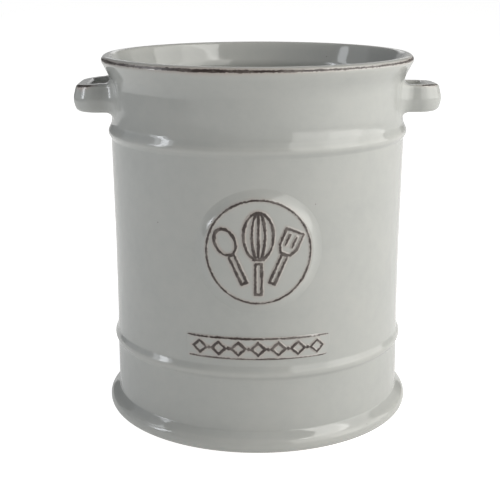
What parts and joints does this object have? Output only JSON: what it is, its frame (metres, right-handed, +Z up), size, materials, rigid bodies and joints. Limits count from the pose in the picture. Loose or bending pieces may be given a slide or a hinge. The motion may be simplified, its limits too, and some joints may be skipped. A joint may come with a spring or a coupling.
{
  "type": "utensil crock",
  "caption": "Wide round glazed stoneware crock for kitchen utensils, with raised beads, a flared rim, a flanged foot, loop handles and a raised round medallion on the front.",
  "frame": {"origin": "middle of the foot, on the surface that the crock stands on", "axes": "+Z up along the crock's axis, +X towards the right handle, -Y towards the medallion"},
  "size_m": [0.1706, 0.1462, 0.17],
  "materials": {
    "grey_glaze": "glossy light grey glaze over dark iron-bearing stoneware, breaking to brown on sharp edges",
    "sprig_glaze": "the same glossy light grey glaze, broken to brown along the relief's raised edges"
  },
  "bodies": {
    "root": {"crock_body": "grey_glaze", "left_handle": "grey_glaze", "right_handle": "grey_glaze", "front_medallion": "sprig_glaze", "front_strip": "sprig_glaze"}
  },
  "joints": []
}
